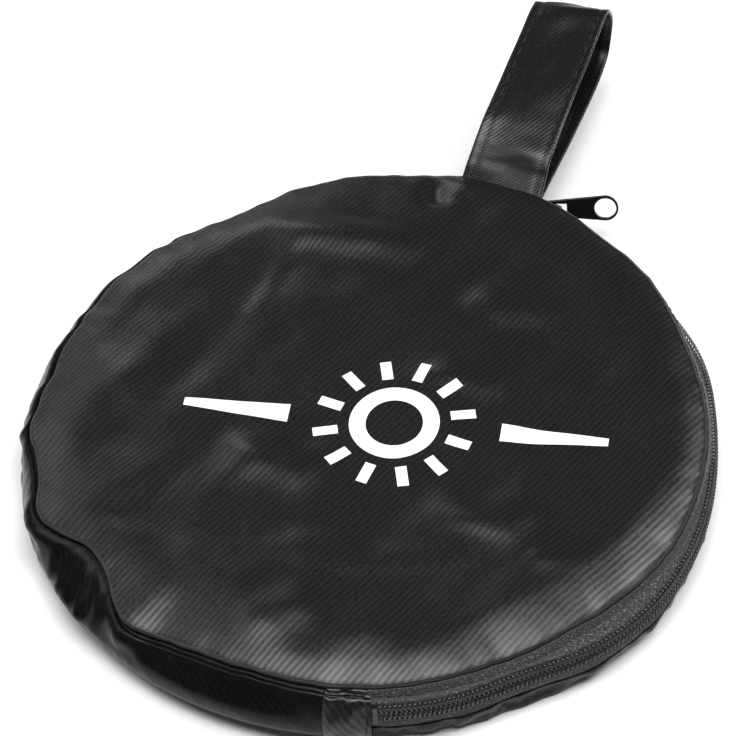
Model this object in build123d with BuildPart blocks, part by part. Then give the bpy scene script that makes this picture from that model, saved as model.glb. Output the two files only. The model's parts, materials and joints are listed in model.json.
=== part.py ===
"""A folded collapsible reflector in its round zipped pouch.

The pouch lies flat: +Z is up, X and Y span the table, and the origin is the centre
of the pouch's underside.  Azimuths are degrees about +Z, measured from +X.
All lengths are millimetres.
"""
from build123d import *
from math import cos, radians, sin
import os

# --- pouch ---------------------------------------------------------------
PANEL_R = 101.6          # cut radius of the round top and bottom panels
POUCH_H = 22.8           # height of the closed pouch
CLOTH = 0.8              # lined nylon cloth
SEAM_GAP = 0.3           # between pieces that move apart
PANEL_UNDER = POUCH_H - CLOTH

# --- zip, in the slanting plane of its chain ------------------------------
CHAIN_R = 102.6          # radius and height of the chain's centre line
CHAIN_Z = 13.2
CHAIN_SLANT = 7.0        # the chain faces out and this many degrees up
TAPE = 0.7               # woven tape thickness
TAPE_PARTING = 0.15      # each tape stops this far from the centre line
COIL_REACH = 3.1         # from the centre line to a coil's outer side
COIL_H = 1.9             # coil height above the tape

# --- azimuths ---------------------------------------------------------------
FLAP_START = -93.9       # the lid's hinge chord runs between these two
FLAP_END = 56.8
ZIP_START = FLAP_START + 0.2
ZIP_END = 60.3
SLIDER_AZ = 56.0         # slider at rest, zip closed
BOTTOM_STOP_AZ = -92.7
TOP_STOP_AZ = 59.75
LOOP_AZ = 63.9           # hang loop

# --- slider and pull ----------------------------------------------------------
SLIDER_L = 11.5
SLIDER_W = 9.4
PLATE = 1.2
PLATE_GAP = 0.4          # slider plate to coil
PIN_H = 5.3              # pull's root bar above the tape
BAR = 1.2                # thickness of the root bar
TAB_T = 1.1
TAB_L = 18.6             # root bar to the centre of the finger hole
TAB_HOLE_R = 3.5
TAB_END_R = 4.2
TAB_ROOT_W = 4.9
TAB_LEAN = 22.0          # the pull's width leans back this far from upright
TAB_TURN = 8.0           # and it points this far below the +X direction

# --- hang loop ------------------------------------------------------------------
STRAP_W = 25.0
STRAP_T = 1.0

# --- folded reflector -------------------------------------------------------------
HOOP_R = 90.0            # mean radius of the three turns
HOOP_SWAY = 2.2          # how far a turn wanders in and out
HOOP_RISE = 5.4          # and up and down
PACK_Z = 10.9            # mid height of the folded pack
TURNS = 3
STEPS_PER_TURN = 30
BAND_W = 4.0             # spring band, on edge
BAND_T = 0.7
SLEEVE_H = 5.6
SLEEVE_T = 2.8
SLEEVE_WALL = 0.4
CLOTH_R = 85.6

OUT = "parts"
os.makedirs(OUT, exist_ok=True)


def save(name, built):
    """Label a finished piece and write its STEP file."""
    built.part.label = name
    export_step(built.part, f"{OUT}/{name}.step")


def radial_plane(azimuth):
    """Upright plane through the Z axis: its x runs outward, its y runs up."""
    a = radians(azimuth)
    return Plane(origin=(0, 0, 0), x_dir=(cos(a), sin(a), 0), z_dir=(sin(a), -cos(a), 0))


def chain_point(up, out):
    """(radius, height) of a point given along and out of the chain's slanting plane."""
    lean = radians(CHAIN_SLANT)
    return (
        CHAIN_R - up * sin(lean) + out * cos(lean),
        CHAIN_Z + up * cos(lean) + out * sin(lean),
    )


def chain_plane(azimuth, out=0.0):
    """Plane of the chain: x along the chain, y across it and up, z outward."""
    a = radians(azimuth)
    lean = radians(CHAIN_SLANT)
    radius, height = chain_point(0, out)
    normal = (cos(lean) * cos(a), cos(lean) * sin(a), sin(lean))
    return Plane(
        origin=(radius * cos(a), radius * sin(a), height),
        x_dir=(-sin(a), cos(a), 0),
        z_dir=normal,
    )


def ring_sector(profile, start, end):
    """Revolve a closed (radius, height) outline from one azimuth to another."""
    with BuildPart() as sector:
        with BuildSketch(radial_plane(start)):
            with BuildLine():
                Polyline(*profile, close=True)
            make_face()
        revolve(axis=Axis.Z, revolution_arc=end - start)
    return sector


def chain_box(up, out):
    """Outline, in (radius, height), of a rectangle set in the chain's plane."""
    (low, high), (inner, outer) = up, out
    return [chain_point(*c) for c in ((low, inner), (high, inner), (high, outer), (low, outer))]


def mirrored(outline, side):
    """Outline in the chain's plane, flipped across the centre line when side is -1."""
    return [chain_point(side * up, out) for up, out in outline]


# --- cloth shell of the pouch -------------------------------------------------------
FLAP_MID = (FLAP_START + FLAP_END) / 2
CHORD = PANEL_R * cos(radians(FLAP_END - FLAP_MID))

with BuildPart() as bottom_panel:
    with BuildSketch(Plane.XY):
        Circle(PANEL_R)
    extrude(amount=CLOTH)
save("bottom_panel", bottom_panel)

lid_plane = Plane(
    origin=(0, 0, PANEL_UNDER),
    x_dir=(cos(radians(FLAP_MID)), sin(radians(FLAP_MID)), 0),
    z_dir=(0, 0, 1),
)


def lid_piece(near, far):
    """Slice of the round top panel between two distances from the centre."""
    with BuildPart() as piece:
        with BuildSketch(lid_plane):
            Circle(PANEL_R)
            with Locations(((near + far) / 2, 0)):
                Rectangle(far - near, 2.2 * PANEL_R, mode=Mode.INTERSECT)
        extrude(amount=CLOTH)
    return piece


save("top_panel_fixed", lid_piece(-PANEL_R, CHORD - SEAM_GAP / 2))
save("top_panel_flap", lid_piece(CHORD + SEAM_GAP / 2, PANEL_R))


def between_panels():
    """Trim the side wall's section to the height between the two panels."""
    with Locations((PANEL_R, (CLOTH + PANEL_UNDER) / 2)):
        Rectangle(40, PANEL_UNDER - CLOTH, mode=Mode.INTERSECT)


# The side wall bellies out a little below the middle, then turns under to the bottom seam.
with BuildPart() as gusset:
    with BuildSketch(radial_plane(ZIP_END + 0.3)):
        with BuildLine():
            FilletPolyline(
                (PANEL_R - 2.0, POUCH_H),
                chain_point(0, -TAPE / 2),
                (CHAIN_R + 0.4, 5.4),
                (PANEL_R - 2.2, 0),
                radius=3.0,
            )
        trace(line_width=CLOTH)
        between_panels()
    revolve(axis=Axis.Z, revolution_arc=360 - (ZIP_END - FLAP_START) - 0.6)
save("gusset", gusset)

# Binding tape over the raw edges inside each seam, kept clear of where the pack slides.
BIND_W = 2.6
BIND_T = 1.2
bind_outer = PANEL_R - 3.4
under_lid = [
    (bind_outer - BIND_W, PANEL_UNDER - BIND_T),
    (bind_outer, PANEL_UNDER - BIND_T),
    (bind_outer, PANEL_UNDER),
    (bind_outer - BIND_W, PANEL_UNDER),
]
over_floor = [(r, z + CLOTH + BIND_T - PANEL_UNDER) for r, z in under_lid]
save("lid_binding_fixed", ring_sector(under_lid, FLAP_END + 1.5, 360 + FLAP_START - 1.5))
save("lid_binding_flap", ring_sector(under_lid, FLAP_START + 1.5, FLAP_END - 1.5))
save("floor_binding", ring_sector(over_floor, 0, 360))

# --- zip ------------------------------------------------------------------------------
UPPER, LOWER = 1, -1
SPREAD_AT = SLIDER_AZ - 0.6      # the tapes part here to pass the slider's wedge
tape_spans = (                   # (start, end, distance of the tape's edge from the centre line)
    (ZIP_START, BOTTOM_STOP_AZ + 0.8, 0.6),
    (BOTTOM_STOP_AZ + 0.8, SPREAD_AT, TAPE_PARTING),
    (SPREAD_AT, ZIP_END, 1.4),
)

upper_spans = [
    ring_sector(chain_box((edge, 8.6), (-TAPE, 0)), start, end) for start, end, edge in tape_spans
]
with BuildPart() as upper_zip_tape:
    for span in upper_spans:
        add(span.part)
save("upper_zip_tape", upper_zip_tape)

with BuildPart() as lower_zip_tape:
    for start, end, edge in tape_spans:
        with BuildSketch(radial_plane(start)):
            with BuildLine():
                FilletPolyline(
                    chain_point(-edge, -TAPE / 2),
                    chain_point(-6.0, -TAPE / 2),
                    (CHAIN_R - 0.6, 3.0),
                    (PANEL_R - 2.2, 0),
                    radius=1.5,
                )
            trace(line_width=TAPE)
            between_panels()
        revolve(axis=Axis.Z, revolution_arc=end - start)
save("lower_zip_tape", lower_zip_tape)

coil_start = BOTTOM_STOP_AZ + 0.8
for side, name in ((UPPER, "upper_zip_coil"), (LOWER, "lower_zip_coil")):
    reach = sorted((side * TAPE_PARTING, side * COIL_REACH))
    save(name, ring_sector(chain_box(reach, (0, COIL_H)), coil_start, SPREAD_AT))

# Metal clips that end the slider's travel: one across both tapes, one on each tape's edge.
H_CLIP = [
    (3.2, 0.1), (3.2, 1.9), (-3.2, 1.9), (-3.2, 0.1), (-0.45, 0.1), (-0.45, -0.8),
    (-2.6, -0.8), (-2.6, -1.6), (2.6, -1.6), (2.6, -0.8), (0.45, -0.8), (0.45, 0.1),
]
U_CLIP = [
    (0.7, -1.4), (3.3, -1.4), (3.3, -0.75), (1.35, -0.75), (1.35, 0.05), (3.3, 0.05),
    (3.3, 1.1), (0.7, 1.1),
]
CLIP_HALF = 0.4          # degrees of arc
for name, outline, side, azimuth in (
    ("zip_bottom_stop", H_CLIP, UPPER, BOTTOM_STOP_AZ),
    ("upper_top_stop", U_CLIP, UPPER, TOP_STOP_AZ),
    ("lower_top_stop", U_CLIP, LOWER, TOP_STOP_AZ),
):
    save(name, ring_sector(mirrored(outline, side), azimuth - CLIP_HALF, azimuth + CLIP_HALF))

# --- slider ------------------------------------------------------------------------------
plate_low = COIL_H + PLATE_GAP
half_l = SLIDER_L / 2


def slider_plate(out):
    """Shield-shaped plate, wide at the mouth that faces the open end."""
    with BuildPart() as plate:
        with BuildSketch(chain_plane(SLIDER_AZ, out)) as outline:
            with BuildLine():
                Polyline(
                    (-half_l, -3.6), (half_l - 3.5, -SLIDER_W / 2), (half_l, -3.4),
                    (half_l, 3.4), (half_l - 3.5, SLIDER_W / 2), (-half_l, 3.6),
                    close=True,
                )
            make_face()
            fillet(outline.vertices(), radius=1.2)
        extrude(amount=PLATE)
    return plate


outer_plate = slider_plate(plate_low)
inner_plate = slider_plate(-TAPE - PLATE_GAP - PLATE)

with BuildPart() as slider_body:
    add(outer_plate.part)
    add(inner_plate.part)
    # side flanges hook over the coils
    with BuildSketch(chain_plane(SLIDER_AZ, 0.35)):
        with Locations((-0.9, 3.85), (-0.9, -3.85)):
            Rectangle(SLIDER_L - 3.6, 0.6)
    extrude(amount=plate_low - 0.35)
    # wedge that parts the coils, joining the two plates
    with BuildSketch(chain_plane(SLIDER_AZ, -TAPE - PLATE_GAP)):
        with BuildLine():
            Polyline((1.4, 0), (3.1, -1.0), (5.0, 0), (3.1, 1.0), close=True)
        make_face()
    extrude(amount=plate_low + TAPE + PLATE_GAP)
save("slider_body", slider_body)

BRIDGE_L = 8.0
BRIDGE_W = 1.4
BRIDGE_RISE = 4.1
BRIDGE_T = 0.9
bridge_foot = plate_low + PLATE
bridge_plane = Plane(
    origin=chain_plane(SLIDER_AZ).from_local_coords((0, 0, 0)),
    x_dir=chain_plane(SLIDER_AZ).x_dir,
    z_dir=-chain_plane(SLIDER_AZ).y_dir,
)
with BuildPart() as slider_bridge:
    with BuildSketch(bridge_plane) as arch:
        with Locations((0, bridge_foot + BRIDGE_RISE / 2)):
            Rectangle(BRIDGE_L, BRIDGE_RISE)
        fillet(arch.vertices().group_by(Axis((0, 0, 0), bridge_plane.y_dir))[-1], radius=1.5)
        with Locations((0, bridge_foot + (BRIDGE_RISE - BRIDGE_T) / 2)):
            Rectangle(BRIDGE_L - 2 * BRIDGE_T, BRIDGE_RISE - BRIDGE_T, mode=Mode.SUBTRACT)
    extrude(amount=BRIDGE_W / 2, both=True)
save("slider_bridge", slider_bridge)

# --- pull tab -------------------------------------------------------------------------------
lean = radians(TAB_LEAN)
turn = radians(TAB_TURN)
tab_across = Vector(0, sin(lean), cos(lean))
tab_along = Vector(cos(turn), -sin(turn) * cos(lean), sin(turn) * sin(lean))
tab_normal = tab_along.cross(tab_across)
pin_centre = chain_plane(SLIDER_AZ, PIN_H).origin
tab_plane = Plane(origin=pin_centre - tab_normal * (TAB_T / 2), x_dir=tab_along, z_dir=tab_normal)
EYE_END = 6.2            # the eye round the bridge, along and across the tab
EYE_W = 3.5

with BuildPart() as pull_tab:
    with BuildSketch(tab_plane) as blade:
        with BuildLine():
            Polyline(
                (TAB_L, TAB_END_R), (-BAR / 2, TAB_ROOT_W / 2),
                (-BAR / 2, -TAB_ROOT_W / 2), (TAB_L, -TAB_END_R),
            )
            ThreePointArc((TAB_L, -TAB_END_R), (TAB_L + TAB_END_R, 0), (TAB_L, TAB_END_R))
        make_face()
        with Locations((TAB_L, 0)):
            Circle(TAB_HOLE_R, mode=Mode.SUBTRACT)
        with Locations(((BAR / 2 + EYE_END) / 2, 0)):
            Rectangle(EYE_END - BAR / 2, EYE_W, mode=Mode.SUBTRACT)
    extrude(amount=TAB_T)
save("pull_tab", pull_tab)

# --- hang loop --------------------------------------------------------------------------------
# A strip of doubled cloth: the upper leg rises from the seam, turns over at the tip, and the
# lower leg comes back level to the same seam.
loop_azimuth = radians(LOOP_AZ)
loop_out = Vector(cos(loop_azimuth), sin(loop_azimuth), 0)
loop_hinge = loop_out * (PANEL_R + 1.3) + Vector(0, 0, POUCH_H + 0.3)
loop_plane = Plane(
    origin=loop_hinge,
    x_dir=loop_out,
    z_dir=(sin(loop_azimuth), -cos(loop_azimuth), 0),
)
LOOP_PATH = [
    (0.4, 0.55), (24.0, 6.8), (50.0, 15.0), (69.0, 20.1), (77.5, 11.0),
    (74.5, -2.0), (58.0, -5.0), (26.0, -4.6), (0.4, -0.55),
]
with BuildPart() as hang_loop:
    with BuildSketch(loop_plane):
        with BuildLine():
            FilletPolyline(*LOOP_PATH, radius=4.0)
        trace(line_width=STRAP_T)
    extrude(amount=STRAP_W / 2, both=True)
save("hang_loop", hang_loop)

# --- folded reflector -----------------------------------------------------------------------------


def hoop_plane(theta):
    """Section plane of the three-turn hoop at a running angle of 0 to 3 full turns."""
    phase = theta / TURNS
    a = radians(theta)
    radius = HOOP_R + HOOP_SWAY * cos(radians(phase))
    height = PACK_Z + HOOP_RISE * sin(radians(phase))
    return Plane(
        origin=(radius * cos(a), radius * sin(a), height),
        x_dir=(cos(a), sin(a), 0),
        z_dir=(sin(a), -cos(a), 0),
    )


def along_hoop(outline, spans):
    """Loft one closed (outward, up) outline along stretches of the three-turn hoop."""
    with BuildPart() as swept:
        for start, end in spans:
            steps = round((end - start) * STEPS_PER_TURN / 360)
            sections = []
            for i in range(steps + 1):
                theta = start + (end - start) * i / steps
                with BuildSketch(hoop_plane(theta), mode=Mode.PRIVATE) as section:
                    with BuildLine():
                        Polyline(*outline, close=True)
                    make_face()
                sections.append(section.sketch)
            loft(sections, ruled=True)
    return swept


def box_outline(width, height):
    """Corners of an upright rectangle about the hoop's line."""
    w, h = width / 2, height / 2
    return [(-w, -h), (w, -h), (w, h), (-w, h)]


def c_outline(outer, inner, gap):
    """A C-shaped section between two upright rectangles, open inward by gap each way."""
    outer_w, outer_h = outer[0] / 2, outer[1] / 2
    inner_w, inner_h = inner[0] / 2, inner[1] / 2
    return [
        (-outer_w, gap), (-outer_w, outer_h), (outer_w, outer_h),
        (outer_w, -outer_h), (-outer_w, -outer_h), (-outer_w, -gap),
        (-inner_w, -gap), (-inner_w, -inner_h), (inner_w, -inner_h),
        (inner_w, inner_h), (-inner_w, inner_h), (-inner_w, gap),
    ]


whole_hoop = [(360 * t, 360 * (t + 1)) for t in range(TURNS)]
save("spring_hoop", along_hoop(box_outline(BAND_T, BAND_W), whole_hoop))

# The sleeve is hem tape folded round the band, open inward where the cloth is sewn in.
sleeve_outline = c_outline(
    (SLEEVE_T, SLEEVE_H), (SLEEVE_T - 2 * SLEEVE_WALL, SLEEVE_H - 2 * SLEEVE_WALL), 0.7
)
save("edge_sleeve", along_hoop(sleeve_outline, whole_hoop))

# Crimped ferrule that joins the band's two ends, a C folded over it.
ferrule_outline = c_outline(
    (BAND_T + 1.1, BAND_W + 0.7), (BAND_T + 0.16, BAND_W + 0.1), 0.3
)
save("hoop_ferrule", along_hoop(ferrule_outline, [(96, 108)]))

# The two sewn faces, gathered into flat bundles inside the turns.
FACE_PARTING = 0.15
face_section = [
    (0, FACE_PARTING), (CLOTH_R, FACE_PARTING), (CLOTH_R, 2.6), (0.6 * CLOTH_R, 5.2), (0, 6.0),
]
for name, direction in (("silver_face", 1), ("white_face", -1)):
    with BuildPart() as face:
        with BuildSketch(Plane.XZ):
            with BuildLine():
                Polyline(*((r, PACK_Z + direction * z) for r, z in face_section), close=True)
            make_face()
        revolve(axis=Axis.Z, revolution_arc=360)
    save(name, face)
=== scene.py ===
"""Visual model of a folded reflector in its round zipped pouch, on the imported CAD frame.

Lengths are millimetres and azimuths are degrees about +Z from +X, as in the CAD source.
Points become Blender's metres only where a mesh, a light or the camera is made. Shader
settings are in metres where they read object coordinates, and in millimetres where they
read the "cloth" UV map, which lays each piece of cloth out flat.
"""
import json
from math import atan2, ceil, cos, degrees, exp, hypot, pi, radians, sin, sqrt

import bpy
from mathutils import Matrix, Vector, noise


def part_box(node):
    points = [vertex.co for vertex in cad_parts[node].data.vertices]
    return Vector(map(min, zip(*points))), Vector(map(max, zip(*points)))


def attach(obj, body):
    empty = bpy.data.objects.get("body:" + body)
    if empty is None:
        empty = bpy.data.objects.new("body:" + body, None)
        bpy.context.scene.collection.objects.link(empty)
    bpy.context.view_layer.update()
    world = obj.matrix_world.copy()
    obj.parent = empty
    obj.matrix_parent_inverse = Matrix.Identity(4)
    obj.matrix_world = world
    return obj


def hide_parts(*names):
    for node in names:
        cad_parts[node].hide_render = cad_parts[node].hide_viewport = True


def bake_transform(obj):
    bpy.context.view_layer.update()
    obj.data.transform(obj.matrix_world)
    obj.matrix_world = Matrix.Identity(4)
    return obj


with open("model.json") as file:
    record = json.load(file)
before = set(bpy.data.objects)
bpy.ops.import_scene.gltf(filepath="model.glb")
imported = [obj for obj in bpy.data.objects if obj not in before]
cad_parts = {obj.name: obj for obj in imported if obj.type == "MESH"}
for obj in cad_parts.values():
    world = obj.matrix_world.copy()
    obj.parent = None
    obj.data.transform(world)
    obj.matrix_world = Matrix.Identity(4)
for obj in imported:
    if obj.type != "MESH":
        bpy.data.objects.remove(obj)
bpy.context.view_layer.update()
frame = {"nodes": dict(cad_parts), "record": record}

MM = 0.001
joints = {joint["name"]: joint for joint in frame["record"]["behaviour"]["joints"]}

# --- driving values, shared with the CAD ----------------------------------------------
PANEL_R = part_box("bottom_panel")[1].x / MM
LID_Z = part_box("top_panel_flap")[1].z / MM
CHAIN_R = 102.6              # the slider's circle, along the zip's middle line
CHAIN_Z = 13.2
CHAIN_SLANT = radians(7)     # lean of the chain's face back from upright
ZIP_START, ZIP_END = -93.7, 60.3
COIL_START, COIL_END = -91.9, 55.4
COIL_PITCH = 1.37            # one turn of a size 5 coil
STRAP_W = 25.0
PACK_Z = 10.9                # middle height of the folded reflector
HOOP_R, HOOP_SWAY, HOOP_RISE, TURNS = 90.0, 2.2, 5.4, 3

hinge = Vector(joints["flap_open"]["pos_m"])


# --- geometry helpers -------------------------------------------------------------------
def polar(radius, azimuth, z):
    """Point from a radius, an azimuth in degrees and a height."""
    a = radians(azimuth)
    return Vector((radius * cos(a), radius * sin(a), z))


def rise(azimuth, centre, height, width):
    """Smooth rise of a height at one azimuth, falling away over width degrees."""
    away = (azimuth - centre + 180) % 360 - 180
    return height * exp(-0.5 * (away / width) ** 2)


def wander(size, *where):
    """Smooth noise between about -1 and 1 whose lumps are about size across."""
    return noise.noise(Vector(where) / size)


def spread(start, end, step):
    """Evenly spaced values from start to end, about step apart."""
    count = max(1, ceil(abs(end - start) / step))
    return [start + (end - start) * i / count for i in range(count + 1)]


def smooth_line(points, t):
    """Point at t, from 0 to 1, on the smooth line through some points."""
    along = min(max(t, 0.0), 1.0) * (len(points) - 1)
    i = min(int(along), len(points) - 2)
    f = along - i
    a = points[max(i - 1, 0)]
    b, c = points[i], points[i + 1]
    d = points[min(i + 2, len(points) - 1)]
    return tuple(
        0.5 * (2 * q + (r - p) * f + (2 * p - 5 * q + 4 * r - s) * f**2 + (3 * q - p - 3 * r + s) * f**3)
        for p, q, r, s in zip(a, b, c, d)
    )


def make_mesh(name, points, faces, cloth_points=None):
    """Smooth-shaded mesh object; cloth_points become a UV map in millimetres."""
    mesh = bpy.data.meshes.new(name)
    mesh.from_pydata([p * MM for p in points], [], faces)
    mesh.polygons.foreach_set("use_smooth", [True] * len(mesh.polygons))
    if cloth_points:
        layer = mesh.uv_layers.new(name="cloth")
        layer.data.foreach_set(
            "uv", [value for loop in mesh.loops for value in cloth_points[loop.vertex_index]]
        )
    obj = bpy.data.objects.new(name, mesh)
    bpy.context.scene.collection.objects.link(obj)
    return obj


def surface(name, point, us, vs, cloth, closed=False):
    """Grid of point(u, v); closed joins the last u back to the first and caps the first v."""
    points = [point(u, v) for v in vs for u in us]
    cloth_points = [cloth(u, v) for v in vs for u in us]
    columns = len(us)
    faces = [
        (
            row * columns + column,
            (row + 1) * columns + column,
            (row + 1) * columns + (column + 1) % columns,
            row * columns + (column + 1) % columns,
        )
        for row in range(len(vs) - 1)
        for column in range(columns if closed else columns - 1)
    ]
    if closed:
        faces.append(tuple(range(columns)))
    return make_mesh(name, points, faces, cloth_points)


def thicken(obj, thickness, offset=-1.0):
    """Gives a surface a real cloth thickness."""
    solidify = obj.modifiers.new("thickness", "SOLIDIFY")
    solidify.thickness = thickness * MM
    solidify.offset = offset
    return obj


def finish_mesh(obj):
    """Applies an object's modifiers, leaving one plain mesh."""
    depsgraph = bpy.context.evaluated_depsgraph_get()
    shaped = bpy.data.meshes.new_from_object(obj.evaluated_get(depsgraph))
    obj.modifiers.clear()
    obj.data = shaped
    return obj


def tube(name, lines, radius, sides=6):
    """Round threads of one radius along some lines of points."""
    points, faces = [], []
    for line in lines:
        first = len(points)
        for i, centre in enumerate(line):
            ahead = line[min(i + 1, len(line) - 1)] - line[max(i - 1, 0)]
            across = ahead.cross(Vector((0, 0, 1)))
            if across.length < 1e-6:
                across = Vector((1, 0, 0))
            across.normalize()
            over = across.cross(ahead).normalized()
            for k in range(sides):
                a = 2 * pi * k / sides
                points.append(centre + (across * cos(a) + over * sin(a)) * radius)
        for i in range(len(line) - 1):
            for k in range(sides):
                low, high = first + i * sides, first + (i + 1) * sides
                faces.append((low + k, low + (k + 1) % sides, high + (k + 1) % sides, high + k))
        faces.append(tuple(reversed(range(first, first + sides))))
        faces.append(tuple(range(len(points) - sides, len(points))))
    return make_mesh(name, points, faces)


def stitch_lines(path, start, end, length, gap):
    """Short stitches along path(position, out) that dip into the cloth at both ends."""
    stitch = ((0.0, -0.25), (0.2, 0.12), (0.8, 0.12), (1.0, -0.25))
    lines = []
    position = start
    while position + length < end:
        lines.append([path(position + share * length, out) for share, out in stitch])
        position += length + gap
    return lines


def bend_open(obj):
    """Bakes a piece's placing into its mesh; it is not turned at the lid's hinge."""
    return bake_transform(obj)


# --- materials --------------------------------------------------------------------------
class Shader:
    """One node material, with short calls to add and join its nodes."""

    def __init__(self, name, **settings):
        self.material = bpy.data.materials.new(name)
        self.material.use_nodes = True
        self.tree = self.material.node_tree
        self.surface = self.tree.nodes["Principled BSDF"]
        for socket, value in settings.items():
            self.surface.inputs[socket.replace("_", " ")].default_value = value

    def add(self, kind, inputs=None, **properties):
        node = self.tree.nodes.new("ShaderNode" + kind)
        for key, value in properties.items():
            setattr(node, key, value)
        for socket, value in (inputs or {}).items():
            self.join(value, node.inputs[socket])
        return node

    def join(self, value, socket):
        if isinstance(value, bpy.types.NodeSocket):
            self.tree.links.new(value, socket)
        else:
            socket.default_value = value

    def math(self, operation, a, b=0.0):
        return self.add("Math", {0: a, 1: b}, operation=operation).outputs[0]

    def noise(self, where, scale, detail=2.0):
        made = self.add("TexNoise", {"Vector": where, "Scale": scale, "Detail": detail})
        return made.outputs["Fac"]

    def ramp(self, value, low, high):
        """Colour that goes from low to high as value goes from 0 to 1."""
        mixed = self.add("Mix", data_type="RGBA")
        self.join(value, mixed.inputs["Factor"])
        mixed.inputs["A"].default_value = (*low, 1)
        mixed.inputs["B"].default_value = (*high, 1)
        return mixed.outputs["Result"]

    def bump(self, height, distance, strength=1.0, onto=None):
        made = self.add("Bump", {"Height": height, "Distance": distance, "Strength": strength})
        if onto is not None:
            self.join(onto, made.inputs["Normal"])
        return made.outputs["Normal"]

    def cloth_point(self):
        return self.add("UVMap", uv_map="cloth").outputs["UV"]

    def object_point(self):
        return self.add("TexCoord").outputs["Object"]

    def ribs(self, where, angle, pitch, waver=0.0):
        """Parallel ribs between 0 and 1, running at an angle in degrees across the cloth."""
        split = self.add("SeparateXYZ", {"Vector": where})
        along = self.math("MULTIPLY", split.outputs["X"], -sin(radians(angle)) * 2 * pi / pitch)
        across = self.math("MULTIPLY", split.outputs["Y"], cos(radians(angle)) * 2 * pi / pitch)
        phase = self.math("ADD", along, across)
        if waver:
            phase = self.math("ADD", phase, self.math("MULTIPLY", self.noise(where, 0.12), waver))
        wave = self.math("SINE", phase)
        return self.math("MULTIPLY_ADD", wave, 0.5)


def grey(value, tint=(1.0, 1.0, 1.0)):
    return tuple(value * t for t in tint)


INK_BLUE = (1.0, 1.0, 1.06)


def satin(name, dark, light, angle, rib_pitch, rib_depth, roughness, gleam):
    """Satin-faced nylon: twill ribs, a fine weave, slow changes of tone, and a gleam on the ribs.

    Ribs run at an azimuth, rib_pitch apart and rib_depth deep, and rib depth adds to the gleam.
    """
    s = Shader(name, Sheen_Weight=0.02, Sheen_Roughness=0.45)
    where = s.cloth_point()
    ribs = s.ribs(where, angle, rib_pitch, 2.0)
    weave = s.ribs(where, angle + 62, 0.52)
    cross = s.ribs(where, angle - 8, 0.45)
    patches = s.noise(where, 0.035, 3.0)
    lint = s.noise(where, 0.9, 5.0)
    tone = s.math("ADD", s.math("MULTIPLY", ribs, 0.3), s.math("MULTIPLY", patches, 0.55))
    tone = s.math("ADD", tone, s.math("MULTIPLY", lint, 0.35))
    s.join(s.ramp(tone, grey(dark, INK_BLUE), grey(light, INK_BLUE)), s.surface.inputs["Base Color"])
    floats = s.math("MULTIPLY", ribs, 12 * rib_depth)
    floats = s.math("ADD", s.math("ADD", floats, 0.35), s.math("MULTIPLY", lint, 0.3))
    s.join(s.math("MULTIPLY", floats, gleam), s.surface.inputs["Specular IOR Level"])
    rough = s.math("ADD", s.math("MULTIPLY", lint, 0.20), roughness - 0.10)
    s.join(rough, s.surface.inputs["Roughness"])
    fine = s.math("MULTIPLY", weave, cross)
    normal = s.bump(fine, 0.00003, 0.6)
    normal = s.bump(ribs, rib_depth * MM, 0.8, normal)
    s.join(normal, s.surface.inputs["Normal"])
    return s.material


def woven_tape(name, dark, light, pitch=0.9):
    """Matt woven polyester: a herringbone of slanting picks with pale flecks."""
    s = Shader(name, Roughness=0.75, Sheen_Weight=0.12, Sheen_Roughness=0.5)
    where = s.cloth_point()
    left = s.ribs(where, 32, pitch)
    right = s.ribs(where, -32, pitch)
    picks = s.math("MAXIMUM", left, right)
    flecks = s.noise(where, 1.2, 4.0)
    tone = s.math("MULTIPLY", picks, s.math("POWER", flecks, 5.0))
    s.join(s.ramp(tone, grey(dark), grey(light)), s.surface.inputs["Base Color"])
    s.join(s.bump(tone, 0.00022, 0.9), s.surface.inputs["Normal"])
    return s.material


def gloss(name, colour, roughness, edge=0.15, shine=0.5):
    """Moulded or painted black surface with softened edges and half-millimetre handling marks."""
    s = Shader(name, Specular_IOR_Level=shine)
    marks = s.noise(s.object_point(), 2000.0, 4.0)
    s.join(s.ramp(marks, tuple(0.8 * c for c in colour), colour), s.surface.inputs["Base Color"])
    rough = s.math("ADD", s.math("MULTIPLY", marks, 0.12), roughness - 0.05)
    s.join(rough, s.surface.inputs["Roughness"])
    soft_edge = s.add("Bevel", {"Radius": edge * MM}, samples=4).outputs["Normal"]
    s.join(s.bump(marks, 0.00002, 0.3, soft_edge), s.surface.inputs["Normal"])
    return s.material


def brushed(name, colour, roughness):
    """Bare metal with fine grain in level lines, along the hoop."""
    s = Shader(name, Roughness=roughness, Metallic=1.0)
    split = s.add("SeparateXYZ", {"Vector": s.object_point()})
    height = s.add("CombineXYZ", {"Z": split.outputs["Z"]}).outputs[0]
    grain = s.noise(height, 9000.0, 3.0)
    s.join(s.ramp(grain, tuple(c * 0.7 for c in colour), colour), s.surface.inputs["Base Color"])
    s.join(s.bump(grain, 0.00002, 0.5), s.surface.inputs["Normal"])
    return s.material


def coated_cloth(name, dark, light, roughness, metallic):
    """Thin coated reflector cloth with a plain weave and a crinkled coating."""
    s = Shader(name, Roughness=roughness, Metallic=metallic)
    where = s.cloth_point()
    crinkle = s.noise(where, 0.16, 5.0)
    weave = s.math("MULTIPLY", s.ribs(where, 0, 0.6), s.ribs(where, 90, 0.6))
    s.join(s.ramp(crinkle, grey(dark), grey(light)), s.surface.inputs["Base Color"])
    normal = s.bump(weave, 0.00004, 0.5)
    s.join(s.bump(crinkle, 0.0012, 0.7, normal), s.surface.inputs["Normal"])
    return s.material


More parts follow.
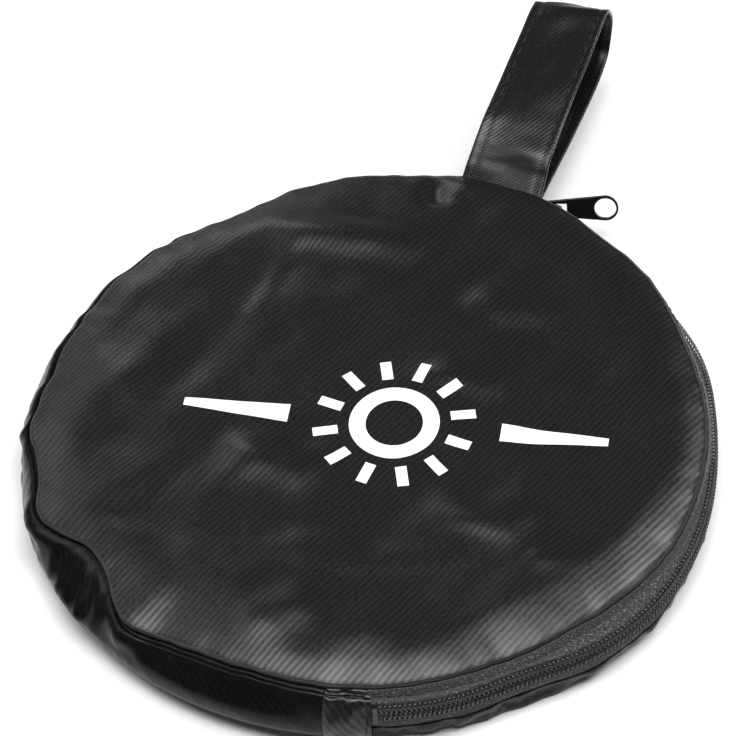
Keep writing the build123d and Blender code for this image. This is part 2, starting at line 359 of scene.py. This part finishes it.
def print_ink(name):
    """White screen print that lets the twill show through."""
    s = Shader(name, Roughness=0.6)
    where = s.object_point()
    ribs = s.ribs(where, TWILL, RIB_PITCH * MM)
    wear = s.noise(where, 900.0, 5.0)
    tone = s.math("ADD", s.math("MULTIPLY", ribs, 0.25), s.math("MULTIPLY", wear, 0.75))
    s.join(s.ramp(tone, grey(0.72), grey(0.9)), s.surface.inputs["Base Color"])
    s.join(s.bump(ribs, 0.00006, 0.5), s.surface.inputs["Normal"])
    return s.material


TWILL = 46.0                 # azimuth of the lid's twill ribs
RIB_PITCH = 1.75
LID_NYLON = satin("lid_nylon", 0.0005, 0.010, TWILL, RIB_PITCH, 0.027, 0.30, 0.64)
# The wall's nylon is the lid's nylon with a darker base colour: painted shade on the wall, the floor
# panel and the floor edge.
WALL_NYLON_PAINTED_SHADE = satin("wall_nylon_painted_shade", 0.0005, 0.006, 28.0, 1.2, 0.004, 0.26, 0.26)
STRAP_NYLON = satin("strap_nylon", 0.001, 0.008, -38.0, 1.1, 0.03, 0.28, 0.52)
ZIP_TAPE = woven_tape("zip_tape_weave", 0.001, 0.95)
BINDING = woven_tape("binding_weave", 0.006, 0.24, 1.3)
SLEEVE = woven_tape("sleeve_weave", 0.006, 0.24, 1.1)
COIL = gloss("coil_nylon", grey(0.010), 0.20, 0.05, 1.0)
THREAD = gloss("black_thread", (0.028, 0.028, 0.030), 0.55, 0.02)
ENAMEL = gloss("black_enamel", grey(0.006), 0.12)
STEEL = brushed("spring_steel", (0.42, 0.43, 0.45), 0.28)
FERRULE = brushed("ferrule_aluminium", (0.70, 0.70, 0.70), 0.35)
SILVER = coated_cloth("silver_coating", 0.55, 0.80, 0.30, 0.85)
WHITE = coated_cloth("white_coating", 0.70, 0.86, 0.65, 0.0)
INK = print_ink("white_ink")


def dress(obj, material, slot=None):
    """Gives a piece its material; the slot argument is not used."""
    obj.data.materials.clear()
    obj.data.materials.append(material)
    return obj


# --- the pouch's own shape ----------------------------------------------------------------
# Where the sewn rim stands out from a true circle, or falls in: azimuth, how far, how wide.
RIM_BULGES = (
    (178, 3.2, 6), (-163, 4.6, 5), (-150, -4.6, 5.5), (-136, 3.2, 4), (-118, -1.4, 10),
    (-66, -1.9, 12), (-36, 0.6, 8), (12, -1.5, 9), (32, 1.0, 8), (62, 5.8, 13),
    (92, 2.3, 8), (114, -2.6, 7),
)
# In the same terms, where the rim lifts off the wall or dips.
RIM_LIFTS = (
    (-150, 3.0, 7), (-131, -0.7, 3), (-84, -0.5, 13), (-62, -0.4, 14), (-32, -1.2, 15),
    (150, 0.9, 12),
)
# Where the zip's chain bows out of the slider's circle, or is drawn in.
CHAIN_BOWS = ((-69, -1.9, 6), (-46, 2.0, 12), (-7, -1.9, 12), (26, -2.8, 9))
# Where the border that slopes from the hoop down to the seam is wider, or narrower.
BORDER_W = 13.0
BORDER_SWELLS = ((8, -4, 24), (172, 2, 24), (-136, 10, 12), (-80, 3, 25))
# Soft folds of the lid: from, to, height, width.
LID_FOLDS = (
    ((-30, 80), (20, 67), 3.3, 8.5),
    ((-22, 74), (-38, 40), 0.35, 3.0),
    ((-46, -15), (-16, -21), 2.4, 8.0),
    ((16, -41), (44, -48), 1.8, 8.0),
    ((42, -57), (56, -61), 0.7, 5.0),
    ((-86, -36), (-44, 4), 0.35, 4.5),
    ((-76, 10), (-60, 44), 0.9, 9.0),
    ((-42, -76), (-20, -70), 1.3, 7.0),
    ((-62, -48), (-34, -64), 1.3, 8.0),
    ((-34, -48), (16, -60), 0.9, 6.0),
    ((14, 16), (44, 6), 1.5, 7.0),
    ((30, 44), (62, 34), 1.2, 7.0),
    ((-10, 50), (30, 32), 0.5, 6.0),
    ((27, 97), (24, 84), -1.8, 3.4),
    ((34, 98), (35, 88), 0.9, 4.0),
)
HOOP_LINE_R = 84.0           # where the lid runs over the hoop's inner side
STREAK_AZ = 50.0             # azimuth of the lid's long faint waves
ROLL = 0.9                   # radius of the lid's turn over the seam
ROLL_TURN = radians(120)     # and how far round it goes


def drape(azimuth):
    """Width of the border that slopes down from the folded hoop to the seam."""
    width = BORDER_W + sum(rise(azimuth, *swell) for swell in BORDER_SWELLS)
    return width * (1 + 0.2 * wander(26, *polar(PANEL_R, azimuth, 77)))


def rim_radius(azimuth):
    """How far the lid's rim reaches: a sewn circle with puckers and slack places."""
    pucker = (0.45 + rise(azimuth, 140, 0.7, 28)) * wander(7, *polar(PANEL_R, azimuth, 40))
    return PANEL_R - 1.8 + pucker + sum(rise(azimuth, *bulge) for bulge in RIM_BULGES)


def fold_height(x, y, start, end, height, width):
    """Height at (x, y) of one soft fold, which wavers and fades out towards its ends."""
    x += 3.5 * wander(22, x, y, 60)
    y += 3.5 * wander(22, x, y, 80)
    run_x, run_y = end[0] - start[0], end[1] - start[1]
    t = ((x - start[0]) * run_x + (y - start[1]) * run_y) / (run_x**2 + run_y**2)
    away = (run_x * (y - start[1]) - run_y * (x - start[0])) / hypot(run_x, run_y)
    fade = exp(-((abs(2 * t - 1) / 0.95) ** 4))
    return height * fade * exp(-((away / width) ** 2))


def streak_height(x, y):
    """Height at (x, y) of long faint waves, some along the streaks' azimuth and some across."""
    turn = radians(STREAK_AZ)
    along = x * cos(turn) + y * sin(turn)
    across = y * cos(turn) - x * sin(turn)
    lengthwise = 0.6 * wander(1, along / 60, across / 13, 5)
    crosswise = 0.5 * wander(1, along / 18, across / 44, 3)
    return lengthwise + crosswise


def hoop_height(x, y, radius):
    """Height the hoop adds at (x, y): a broad swell, and a fine line that comes and goes."""
    swell = 0.5 * exp(-(((radius - HOOP_LINE_R) / 10) ** 2))
    line = exp(-(((radius - HOOP_LINE_R - 2 * wander(60, x, y, 3)) / 3.5) ** 2))
    return swell + 0.18 * line * max(0.0, wander(40, x, y, 50) + 0.3)


def border_height(x, y, radius, azimuth, width, edge):
    """Height of the sloping border, below 0, with edge from 0 at its inner side to 1 at the rim."""
    height = -(1.1 + 0.09 * width) * edge**2
    height += edge * sum(rise(azimuth, *lift) for lift in RIM_LIFTS)
    height += 0.4 * edge**3 * wander(6, *polar(PANEL_R, azimuth, 0.25 * radius))
    return height + 0.35 * edge * wander(24, x, y, 30)


def lid_height(x, y):
    """Height of the lid: it lies on the folded hoop, sags inside it and slopes to the rim."""
    radius = hypot(x, y)
    azimuth = degrees(atan2(y, x))
    width = drape(azimuth)
    edge = max(0.0, radius - rim_radius(azimuth) + width) / width
    sag = 0.7 * exp(-((radius / 60) ** 2))
    height = LID_Z - sag + hoop_height(x, y, radius)
    height += border_height(x, y, radius, azimuth, width, edge)
    height += sum(fold_height(x, y, *fold) for fold in LID_FOLDS)
    height += streak_height(x, y) * (1 - 0.8 * min(1.0, 2 * edge))
    return height + 0.6 * wander(38, x, y, 9) + 0.16 * wander(10, x, y, 2)


def lid_point(azimuth, travel):
    """Point of the lid at a travel along the cloth from its centre, over the rim and under it."""
    rim = rim_radius(azimuth)
    flat = rim - ROLL
    if travel <= flat:
        at = polar(travel, azimuth, 0)
        return Vector((at.x, at.y, lid_height(at.x, at.y)))
    turned = min((travel - flat) / ROLL, ROLL_TURN)
    at = polar(flat, azimuth, 0)
    edge_z = lid_height(at.x, at.y) - ROLL
    return polar(flat + ROLL * sin(turned), azimuth, edge_z + ROLL * cos(turned))


def lid_seam(azimuth):
    """(radius, height) of the seam that joins the lid to the wall or the zip."""
    seam = lid_point(azimuth, 2 * PANEL_R)
    return hypot(seam.x, seam.y), seam.z


def chain_point(azimuth, up, out):
    """(radius, height) of a point given along and out of the zip chain's slanting plane.

    The chain keeps to the slider's circle where the slider stops at either end of its travel,
    and wanders with the pouch between.
    """
    bow = sum(rise(azimuth, *each) for each in CHAIN_BOWS)
    return (
        CHAIN_R + bow - up * sin(CHAIN_SLANT) + out * cos(CHAIN_SLANT),
        CHAIN_Z + up * cos(CHAIN_SLANT) + out * sin(CHAIN_SLANT),
    )


# --- lid ------------------------------------------------------------------------------------
def build_lid():
    azimuths = [0.5 * i for i in range(720)]
    turn_share = 0.72            # the turn under the rim runs from a share of 1 to 1.72
    shares = spread(0.004, 1.0, 0.012) + [1.0 + turn_share * i / 12 for i in range(1, 13)]

    def point(azimuth, share):
        flat = rim_radius(azimuth) - ROLL
        if share <= 1.0:
            return lid_point(azimuth, share * flat)
        return lid_point(azimuth, flat + (share - 1.0) / turn_share * ROLL * ROLL_TURN)

    def cloth(azimuth, share):
        return polar(share * PANEL_R, azimuth, 0).xy

    lid = surface("lid_cloth", point, azimuths, shares, cloth, closed=True)
    finish_mesh(thicken(lid, 0.5))
    dress(lid, LID_NYLON, "pouch_nylon")
    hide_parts("top_panel_fixed", "top_panel_flap")
    bend_open(lid)


# --- wall, floor and bindings -----------------------------------------------------------------
def belly_radius(azimuth):
    """How far the wall stands out at its widest."""
    return 105.6 + 1.9 * cos(radians(azimuth + 165))


def wall_crumple(azimuth, height):
    """How far the loose cloth between the seams stands out or in, most where it is gathered."""
    arc = radians(azimuth) * PANEL_R
    gathered = rise(azimuth, -150, 1.0, 9) + rise(azimuth, 172, 0.7, 9)
    crease = 0.25 - abs(wander(1, arc / 7.5 + height / 16, height / 9, 3))
    crumple = (0.3 + 1.5 * gathered) * crease
    crumple += (0.5 + gathered) * wander(1, arc / 22, height / 14, 8)
    return crumple + 0.35 * (0.3 + gathered) * wander(1, arc / 3.4, height / 6, 21)


def wall_point(azimuth, t):
    """Point on the side wall, t from 0 at the lid seam to 1 at the floor seam.

    Where the rim is notched, the wall is tucked in under it and pushed out below.
    """
    seam_r, seam_z = lid_seam(azimuth)
    belly = belly_radius(azimuth)
    profile = (
        (seam_r - 1.4, seam_z + 0.4), (seam_r + 0.5, seam_z - 1.2), (seam_r + 2.0, seam_z - 0.9),
        (seam_r + 3.9, seam_z - 3.2), (belly - 0.8, 12.0), (belly, 8.6), (belly - 0.6, 5.2),
        (PANEL_R + 1.4, 1.9), (PANEL_R - 1.4, 0.5),
    )
    radius, height = smooth_line(profile, t)
    radius += wall_crumple(azimuth, height) * sin(pi * min(1.0, 1.2 * t))
    tucked = -3.2 * exp(-(((t - 0.2) / 0.1) ** 2))
    pushed = 1.4 * exp(-(((t - 0.5) / 0.14) ** 2))
    radius += rise(azimuth, -151, 1, 8) * (tucked + pushed)
    return polar(radius, azimuth, max(height, 0.3))


def build_wall():
    azimuths = spread(ZIP_END + 0.3, 360 + ZIP_START - 0.5, 0.4)
    wall = surface(
        "wall_cloth", wall_point, azimuths, spread(0, 1, 0.03),
        lambda azimuth, t: (radians(azimuth) * PANEL_R, 28 * t),
    )
    finish_mesh(thicken(wall, 0.5))
    dress(wall, WALL_NYLON_PAINTED_SHADE, "pouch_nylon")
    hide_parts("gusset")
    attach(wall, "pouch")


def build_wall_end():
    """The wall's end, folded under and stitched down beside the zip's closed end."""
    start, end = ZIP_START - 7.0, ZIP_START + 0.4

    def point(azimuth, t):
        under = wall_point(min(azimuth, ZIP_START) + 360, 0.03 + 0.93 * t)
        share = (azimuth - start) / (end - start)
        lift = 0.25 + 0.75 * min(1.0, 4 * share)
        lift += 1.1 * wander(1, azimuth / 2.6, 4.2 * t + azimuth / 3, 6) * sin(pi * share) ** 0.5
        return polar(hypot(under.x, under.y) + lift, azimuth, under.z)

    fold = surface(
        "wall_end_fold", point, spread(start, end, 0.2), spread(0, 1, 0.04),
        lambda azimuth, t: (radians(azimuth) * PANEL_R, 22 * t),
    )
    finish_mesh(thicken(fold, 0.4))
    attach(dress(fold, LID_NYLON, "pouch_nylon"), "pouch")


def build_floor_panel():
    def point(azimuth, share):
        flat = polar(share * (PANEL_R - 1.0), azimuth, 0)
        ripple = 0.25 * max(0.0, wander(16, flat.x, flat.y, 1)) * (1 - share)
        return flat + Vector((0, 0, 0.05 + ripple + 0.5 * max(0.0, share - 0.98) / 0.02))

    panel = surface(
        "floor_cloth", point, [2.0 * i for i in range(180)], spread(0.004, 1.0, 0.025),
        lambda azimuth, share: polar(share * PANEL_R, azimuth, 0).xy, closed=True,
    )
    finish_mesh(thicken(panel, 0.5, 1.0))
    dress(panel, WALL_NYLON_PAINTED_SHADE, "pouch_nylon")
    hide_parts("bottom_panel")
    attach(panel, "pouch")


def binding_strip(name, start, end, height):
    """Flat tube of tape over a raw seam edge, at height(x, y), with the waver of hand sewing.

    It runs at one radius, or further in where the rim is notched.
    """
    radius = PANEL_R - 5.4
    half_wide, half_tall = 1.4, 0.55

    def point(azimuth, t):
        turn = 2 * pi * t
        inside = min(radius, rim_radius(azimuth) - 3.4)
        middle = polar(inside + 0.25 * wander(14, *polar(radius, azimuth, 1)), azimuth, 0)
        middle.z = height(middle.x, middle.y) + half_tall * sin(turn)
        return middle + polar(half_wide * cos(turn), azimuth, 0)

    return surface(
        name, point, spread(start, end, 1.0), [i / 12 for i in range(13)],
        lambda azimuth, t: (radians(azimuth) * radius, 6 * t),
    )


def build_bindings():
    def lid_under(x, y):
        return lid_height(x, y) - 2.0

    fixed = binding_strip("lid_binding_back", 58.3, 360 - 95.4, lid_under)
    flap = binding_strip("lid_binding_front", -92.4, 55.3, lid_under)
    floor = binding_strip("floor_binding_ring", 0, 360, lambda x, y: 1.45)
    for piece, node, body in (
        (fixed, "lid_binding_fixed", "pouch"),
        (flap, "lid_binding_flap", "flap"),
        (floor, "floor_binding", "pouch"),
    ):
        dress(piece, BINDING, "binding_tape")
        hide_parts(node)
        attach(piece, body)


# --- zip ------------------------------------------------------------------------------------
def upper_tape_point(azimuth, t):
    """Upper tape, t from 0 at the chain to 1 at the lid seam."""
    seam_r, seam_z = lid_seam(azimuth)
    profile = (
        chain_point(azimuth, 0.2, 0), chain_point(azimuth, 3.2, 0),
        (0.45 * CHAIN_R + 0.55 * seam_r, 17.0), (seam_r + 0.3, seam_z + 0.4),
    )
    radius, height = smooth_line(profile, t)
    return polar(radius, azimuth, height)


def lower_tape_point(azimuth, t):
    """Lower tape, t from 0 at the chain to 1 at the floor seam."""
    chain_r, chain_z = chain_point(azimuth, -3.2, 0)
    profile = (
        chain_point(azimuth, -0.2, 0), (chain_r, chain_z), (chain_r + 0.2, 6.8), (chain_r - 0.2, 4.0),
        (PANEL_R + 0.2, 1.4), (PANEL_R - 1.4, 0.5),
    )
    radius, height = smooth_line(profile, t)
    loose = sin(pi * min(1.0, max(0.0, (t - 0.25) / 0.7)))
    radius += loose * (1.1 * wander(13, *polar(radius, azimuth, 2 * height)) - 0.2)
    radius -= loose * 1.6 * max(0.0, wander(7, *polar(radius, azimuth, 60)) - 0.25)
    return polar(radius, azimuth, height)


def build_floor_edge():
    """The floor panel's edge, turned up over the lower tape and puckered by its seam."""

    def point(azimuth, t):
        under = lower_tape_point(azimuth, 0.40 + 0.6 * t)
        arc = radians(azimuth) * CHAIN_R
        puff = sin(pi * min(1.0, 0.12 + t))
        lump = 0.9 * wander(1, arc / 5.5, t, 4) + 0.5 * wander(1, arc / 2.4, 2 * t, 9)
        return under + polar(0.45 + puff * (0.5 + lump * (0.5 + 0.8 * t)), azimuth, 0)

    edge = surface(
        "floor_edge_cloth", point, spread(ZIP_START, ZIP_END, 0.35), spread(0, 1, 0.06),
        lambda azimuth, t: (radians(azimuth) * CHAIN_R, 9 * t),
    )
    finish_mesh(thicken(edge, 0.4))
    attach(dress(edge, WALL_NYLON_PAINTED_SHADE, "pouch_nylon"), "pouch")


def build_tapes():
    azimuths = spread(ZIP_START, ZIP_END, 0.5)
    for name, point, width, node in (
        ("upper_tape_cloth", upper_tape_point, 9.4, "upper_zip_tape"),
        ("lower_tape_cloth", lower_tape_point, 15.0, "lower_zip_tape"),
    ):
        tape = surface(
            name, point, azimuths, spread(0, 1, 0.04),
            lambda azimuth, t: (radians(azimuth) * CHAIN_R, width * t),
        )
        finish_mesh(thicken(tape, 0.6, 0.0))
        dress(tape, ZIP_TAPE, "zip_tape")
        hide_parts(node)
        if node == "upper_zip_tape":
            bend_open(tape)
        else:
            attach(tape, "pouch")


WIRE_R = 0.31                # nylon monofilament of the coils


def coil_line(side, shift):
    """Centre line of one coil's wire: a flattened helix, shift turns along the chain.

    Side is 1 for the upper coil and -1 for the lower one.
    """
    per_turn = 12
    pitch = degrees(COIL_PITCH / CHAIN_R)
    turns = int((COIL_END - COIL_START) / pitch) - 1
    line = []
    for i in range(turns * per_turn + 1):
        turn = 2 * pi * i / per_turn
        up = 1.62 + 1.5 * cos(turn) * (1 - 0.12 * sin(turn) ** 2)
        out = 0.98 + 0.66 * sin(turn)
        azimuth = COIL_START + pitch * (shift + i / per_turn)
        radius, height = chain_point(azimuth, side * up, out)
        line.append(polar(radius, azimuth, height))
    return line


def coil_thread(side, up):
    """Sewing thread that runs over the coil and dips between its turns."""
    line = []
    for azimuth in spread(COIL_START + 0.4, COIL_END - 0.6, 0.19):
        dip = 0.10 * cos(radians(azimuth) * CHAIN_R / COIL_PITCH * 2 * pi)
        radius, height = chain_point(azimuth, side * up, 1.92 + dip)
        line.append(polar(radius, azimuth, height))
    return line


def build_coils():
    for side, shift, name, node in (
        (1, 0.0, "upper_coil_wire", "upper_zip_coil"),
        (-1, 0.5, "lower_coil_wire", "lower_zip_coil"),
    ):
        coil = dress(tube(name, [coil_line(side, shift)], WIRE_R), COIL, "zip_coil")
        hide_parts(node)
        threads = tube(name + "_thread", [coil_thread(side, up) for up in (1.9, 2.5)], 0.13, 5)
        dress(threads, THREAD, "zip_tape")
        for piece in (coil, threads):
            if side == 1:
                bend_open(piece)
            else:
                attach(piece, "pouch")


# --- stitching --------------------------------------------------------------------------------
STITCH, STITCH_GAP = 2.2, 0.8
STITCH_R = 0.16


def tape_row(tape, t):
    """Row of stitches along a zip tape, at t across it."""
    per_mm = degrees(1 / CHAIN_R)

    def path(azimuth, out):
        return tape(azimuth, t) + polar(0.35 + out, azimuth, 0)

    return stitch_lines(path, ZIP_START + 1, ZIP_END - 1, STITCH * per_mm, STITCH_GAP * per_mm)


def build_seam_stitching():
    """Rows of lockstitch on the tapes and at the wall's end beside the zip."""
    end = ZIP_START - 0.5

    def down_wall(t, out):
        return wall_point(360 + end, t) + polar(1.3 + out, end, 0)

    upper_row = tube("upper_tape_stitching", tape_row(upper_tape_point, 0.80), STITCH_R, 5)
    bend_open(dress(upper_row, THREAD, "zip_tape"))
    for name, lines in (
        ("lower_tape_stitching", tape_row(lower_tape_point, 0.62)),
        ("wall_end_stitching", stitch_lines(down_wall, 0.12, 0.9, 0.075, 0.03)),
    ):
        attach(dress(tube(name, lines, STITCH_R, 5), THREAD, "zip_tape"), "pouch")


# --- hang loop ----------------------------------------------------------------------------------
loop_hinge = Vector(joints["loop_fold"]["pos_m"]) / MM
loop_out = Vector((loop_hinge.x, loop_hinge.y, 0)).normalized()
loop_side = Vector((0, 0, 1)).cross(loop_out)
# The strap seen from its side: how far out from the seam, and how far above it.
LOOP_PATH = (
    (0.6, -3.0), (6.5, 1.6), (13.0, 6.0), (27.0, 11.0), (48.0, 15.0), (64.0, 17.9), (70.3, 17.4),
    (73.6, 13.0), (73.9, 7.4), (71.6, 0.4), (67.0, -3.2), (57.0, -5.0), (40.0, -5.4), (24.0, -5.4),
    (0.6, -4.0),
)


def loop_point(t, across, out=0.0):
    """Point on the strap: t along the loop, across from its middle, out of its face.

    The strap flares at the seam, and turns and leans aside a little towards its bight.
    """
    here = Vector(smooth_line(LOOP_PATH, t))
    ahead = Vector(smooth_line(LOOP_PATH, t + 0.002)) - Vector(smooth_line(LOOP_PATH, t - 0.002))
    face = Vector((-ahead.y, ahead.x)).normalized()
    slack = 1.5 * wander(1, 12 * t, across / 13 + 3 * t, 4)
    slack += 0.7 * wander(1, 30 * t, across / 8 + 9 * t, 7) * exp(-6 * t)
    hem = 0.22 * exp(-(((abs(across) - STRAP_W / 2 + 2.6) / 0.7) ** 2))
    here = here + face * (out + slack * sin(pi * min(1.0, t * 1.4)) - hem)
    flare = 1 + 0.09 * exp(-here.x / 14)
    turn = 0.0030 * here.x
    sideways = loop_side * cos(turn) - loop_out * sin(turn)
    middle = loop_out * here.x + loop_side * 0.0004 * here.x**2 + Vector((0, 0, here.y))
    return loop_hinge + middle + sideways * across * flare


def fold_at_seam(obj):
    """Bakes the strap's placing into its mesh; the strap stays sewn under the lid's rim but is not
    folded over at the seam.
    """
    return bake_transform(obj)


def build_loop():
    strap = surface(
        "hang_loop_strap", loop_point, spread(0, 1, 0.005), spread(-STRAP_W / 2, STRAP_W / 2, 0.8),
        lambda t, across: (175 * t, across),
    )
    finish_mesh(thicken(strap, 1.0, 0.0))
    dress(strap, STRAP_NYLON, "pouch_nylon")
    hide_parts("hang_loop")
    fold_at_seam(strap)
    lines = []
    for side in (-1, 1):
        def path(t, out):
            return loop_point(t, side * (STRAP_W / 2 - 2.2), 0.4 + out)
        lines += stitch_lines(path, 0.01, 0.99, 0.014, 0.005)
    fold_at_seam(dress(tube("hang_loop_stitching", lines, 0.12, 5), THREAD, "pouch_nylon"))


# --- printed mark ---------------------------------------------------------------------------------
MARK_CENTRE = (6.0, -5.0)
MARK_TURN = -11.8
RAYS = 12


def mark_patch(corner, along, across):
    """Points of one four-sided patch of the mark, laid on the lid, and how many make a row.

    corner(u, v) gives the patch's plan, and along and across are its numbers of cells.
    """
    rows = [[corner(u, v) for u in spread(0, 1, 1 / along)] for v in spread(0, 1, 1 / across)]
    turn = radians(MARK_TURN)
    laid = []
    for row in rows:
        for x, y in row:
            at_x = MARK_CENTRE[0] + x * cos(turn) - y * sin(turn)
            at_y = MARK_CENTRE[1] + x * sin(turn) + y * cos(turn)
            laid.append(Vector((at_x, at_y, lid_height(at_x, at_y) + 0.1)))
    return laid, len(rows[0])


def build_mark():
    """A plain sun between two bars, printed on the middle of the lid."""
    patches = []

    def ring(inner, outer):
        def corner(u, v):
            r = inner + (outer - inner) * v
            return r * cos(2 * pi * u), r * sin(2 * pi * u)
        return corner

    def ray(angle, inner, outer, width):
        def corner(u, v):
            r = inner + (outer - inner) * u
            side = (v - 0.5) * width
            return r * cos(angle) - side * sin(angle), r * sin(angle) + side * cos(angle)
        return corner

    def bar(side):
        def corner(u, v):
            x = side * (32 + 32 * u)
            return x, (v - 0.5) * (7.0 - 4.0 * u)
        return corner

    patches.append(mark_patch(ring(8.6, 13.6), 72, 3))
    for i in range(RAYS):
        patches.append(mark_patch(ray(2 * pi * (i + 0.5) / RAYS, 17.0, 24.5, 3.4), 6, 2))
    patches += [mark_patch(bar(side), 36, 3) for side in (-1, 1)]
    points, faces = [], []
    for laid, columns in patches:
        first = len(points)
        points += laid
        for row in range(len(laid) // columns - 1):
            for column in range(columns - 1):
                low = first + row * columns + column
                faces.append((low, low + 1, low + columns + 1, low + columns))
    mark = dress(make_mesh("printed_sun", points, faces), INK, "print_ink")
    bend_open(mark)


# --- folded reflector -------------------------------------------------------------------------------
def hoop_point(theta):
    """Centre of the folded hoop at a running angle of 0 to three full turns."""
    phase = radians(theta / TURNS)
    return polar(HOOP_R + HOOP_SWAY * cos(phase), theta, PACK_Z + HOOP_RISE * sin(phase))


def build_sleeve():
    """Hem tape sewn round the hoop, flattened into an upright oval and puckered by its stitches."""

    def point(theta, t):
        turn = 2 * pi * t
        centre = hoop_point(theta)
        pucker = 1 + 0.05 * wander(6, *(centre + Vector((0, 0, theta / 9))))
        wide = 1.35 * cos(turn) * pucker
        tall = 2.75 * sin(turn) * pucker
        outward = polar(1, theta, 0)
        return centre + outward * wide + Vector((0, 0, tall))

    sleeve = surface(
        "hoop_sleeve", point, spread(0, 360 * TURNS, 2.0), [i / 16 for i in range(17)],
        lambda theta, t: (radians(theta) * HOOP_R, 14 * t),
    )
    dress(sleeve, SLEEVE, "sleeve_tape")
    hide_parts("edge_sleeve")
    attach(sleeve, "reflector")


FACE_R = 87.2
LAYERS = 7                   # folded back and forth across the turns


def folded_face(name, bottom, spacing, seed):
    """One round cloth face, folded back and forth inside the turns into a flat stack."""

    def point(travel, across):
        layer = min(int(travel), LAYERS - 1)
        share = travel - layer
        reach = FACE_R * sqrt(max(0.0, 1 - (across / FACE_R) ** 2))
        swing = cos(pi * travel)
        x = reach * (abs(swing) ** 0.8) * (1 if swing > 0 else -1)
        inside = 1 - (hypot(x, across) / FACE_R) ** 4
        crumple = 1.3 * wander(17, x, across, seed) + 0.5 * wander(7, x, across, seed + 4)
        level = layer + share**3 * (10 + share * (6 * share - 15))
        return Vector((x, across, bottom + spacing * level + inside * crumple))

    return surface(
        name, point, spread(0, LAYERS, 0.025), [FACE_R * sin(pi / 2 * i / 40) for i in range(-40, 41)],
        lambda travel, across: (2 * FACE_R * travel, across),
    )


def build_faces():
    for name, node, bottom, material, slot, seed in (
        ("silver_cloth_folded", "silver_face", PACK_Z + 0.6, SILVER, "silver_cloth", 1),
        ("white_cloth_folded", "white_face", PACK_Z - 5.6, WHITE, "white_cloth", 7),
    ):
        face = dress(folded_face(name, bottom, 0.7, seed), material, slot)
        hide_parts(node)
        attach(face, "reflector")


# --- carried-over metal parts ---------------------------------------------------------------------
def dress_hardware():
    for names, material in (
        (("slider_body", "slider_bridge", "pull_tab"), ENAMEL),
        (("zip_bottom_stop", "lower_top_stop"), ENAMEL),
        (("spring_hoop",), STEEL),
        (("hoop_ferrule",), FERRULE),
    ):
        for name in names:
            dress(frame["nodes"][name], material)


def build_upper_stop():
    """The upper tape's top stop, a copy of the CAD clip baked in place on its tape."""
    clip = frame["nodes"]["upper_top_stop"]
    stop = bpy.data.objects.new("upper_stop_clip", clip.data.copy())
    stop.data.transform(clip.matrix_world)
    bpy.context.scene.collection.objects.link(stop)
    dress(stop, ENAMEL, "black_enamel")
    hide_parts("upper_top_stop")
    bend_open(stop)


# --- studio -----------------------------------------------------------------------------------------
FLOOR_Z = -0.4               # just under the pouch, clear of its floor panel
FLOOR_REACH = 3000
# Softboxes aimed at the pouch: name, place, width, depth, watts.
SOFTBOXES = (
    ("overhead_softbox", (0, -230, 1300), 900, 650, 18),
    ("left_fill", (-900, 100, 1050), 500, 400, 3.3),
    ("right_fill", (900, 60, 1050), 500, 400, 9),
    ("back_strip", (-320, 1250, 660), 300, 200, 1.2),
    ("left_strip", (-720, 800, 900), 500, 260, 1.4),
    ("right_strip", (980, 640, 850), 300, 300, 1.6),
)


def build_floor():
    steps = spread(-FLOOR_REACH, FLOOR_REACH, 500)
    floor = surface(
        "studio_floor", lambda x, y: Vector((x, y, FLOOR_Z)), steps, steps, lambda x, y: (x, y)
    )
    paper = Shader("pale_paper", Roughness=0.9)
    mottle = paper.noise(paper.object_point(), 6.0, 3.0)
    paper.join(paper.ramp(mottle, grey(0.86), grey(0.89)), paper.surface.inputs["Base Color"])
    floor.data.materials.append(paper.material)


def build_world():
    world = bpy.data.worlds.new("studio")
    world.use_nodes = True
    background = world.node_tree.nodes["Background"]
    background.inputs["Color"].default_value = (1, 1, 1, 1)
    background.inputs["Strength"].default_value = 0.10
    bpy.context.scene.world = world
    bpy.context.scene.view_settings.view_transform = "Standard"


def build_lights():
    for name, place, wide, deep, watts in SOFTBOXES:
        light = bpy.data.lights.new(name, "AREA")
        light.energy = watts
        light.shape = "RECTANGLE"
        light.size = wide * MM
        light.size_y = deep * MM
        lamp = bpy.data.objects.new(name, light)
        lamp.location = Vector(place) * MM
        lamp.rotation_euler = (-lamp.location).to_track_quat("-Z", "Y").to_euler()
        bpy.context.scene.collection.objects.link(lamp)


EYE = Vector((0, -554.3, 656.4))
LOOK_AT = Vector((-0.8, 26.8, 12.0))
CAMERA_ROLL = radians(3.7)
LENS, SENSOR = 137.6, 36.0


def build_camera():
    """Camera in front of the pouch, looking down at about 48 degrees and rolled a little."""
    ahead = (LOOK_AT - EYE).normalized()
    level = ahead.cross(Vector((0, 0, 1))).normalized()
    upright = level.cross(ahead)
    right = level * cos(CAMERA_ROLL) - upright * sin(CAMERA_ROLL)
    up = level * sin(CAMERA_ROLL) + upright * cos(CAMERA_ROLL)
    camera = bpy.data.objects.new("camera", bpy.data.cameras.new("camera"))
    camera.data.lens = LENS
    camera.data.sensor_width = SENSOR
    turn = Matrix((right, up, -ahead)).transposed()
    camera.matrix_world = Matrix.Translation(EYE * MM) @ turn.to_4x4()
    bpy.context.scene.collection.objects.link(camera)
    bpy.context.scene.camera = camera


build_camera()
build_floor()
build_world()
build_lights()
build_lid()
build_wall()
build_wall_end()
build_floor_panel()
build_bindings()
build_tapes()
build_floor_edge()
build_coils()
build_seam_stitching()
build_loop()
build_mark()
build_sleeve()
build_faces()
dress_hardware()
build_upper_stop()
